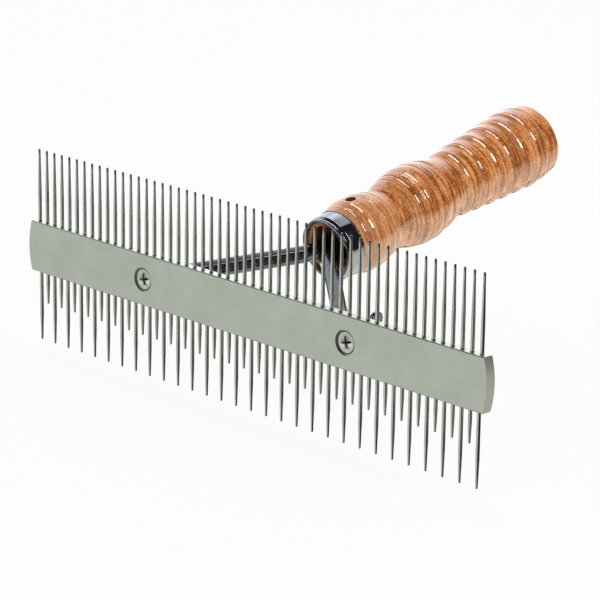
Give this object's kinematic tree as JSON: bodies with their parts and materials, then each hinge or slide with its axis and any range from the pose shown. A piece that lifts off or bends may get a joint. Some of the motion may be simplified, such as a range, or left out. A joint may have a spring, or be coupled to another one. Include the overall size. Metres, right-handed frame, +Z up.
{
  "type": "livestock fluffing comb",
  "caption": "Two-sided livestock grooming comb: flat bar with pressed-in pins above and below, on a forked rod frame with ferrule and turned wooden handle.",
  "frame": {"origin": "centre of the comb bar's flat front face, midway between the two screws", "axes": "+X along the bar to the right as seen from the front, +Y from the bar towards the handle, +Z up, towards the equal row of teeth"},
  "size_m": [0.2286, 0.1532, 0.0869],
  "materials": {
    "bar": "satin, fine mottling",
    "teeth": "smooth drawn steel",
    "screws": "zinc plated",
    "washers": "zinc plated",
    "wing_nuts": "nickel plated",
    "fork": "polished",
    "ferrule": "polished",
    "wood": "clear gloss lacquer",
    "pin": "dull"
  },
  "bodies": {
    "root": {"comb_bar": "bar", "upper_teeth": "teeth", "lower_long_teeth": "teeth", "lower_short_teeth": "teeth", "left_screw": "screws", "right_screw": "screws", "left_lock_washer": "washers", "right_lock_washer": "washers", "left_wing_nut": "wing_nuts", "right_wing_nut": "wing_nuts", "left_arm": "fork", "right_arm": "fork", "ferrule": "ferrule", "handle": "wood", "retaining_pin": "pin"}
  },
  "joints": []
}
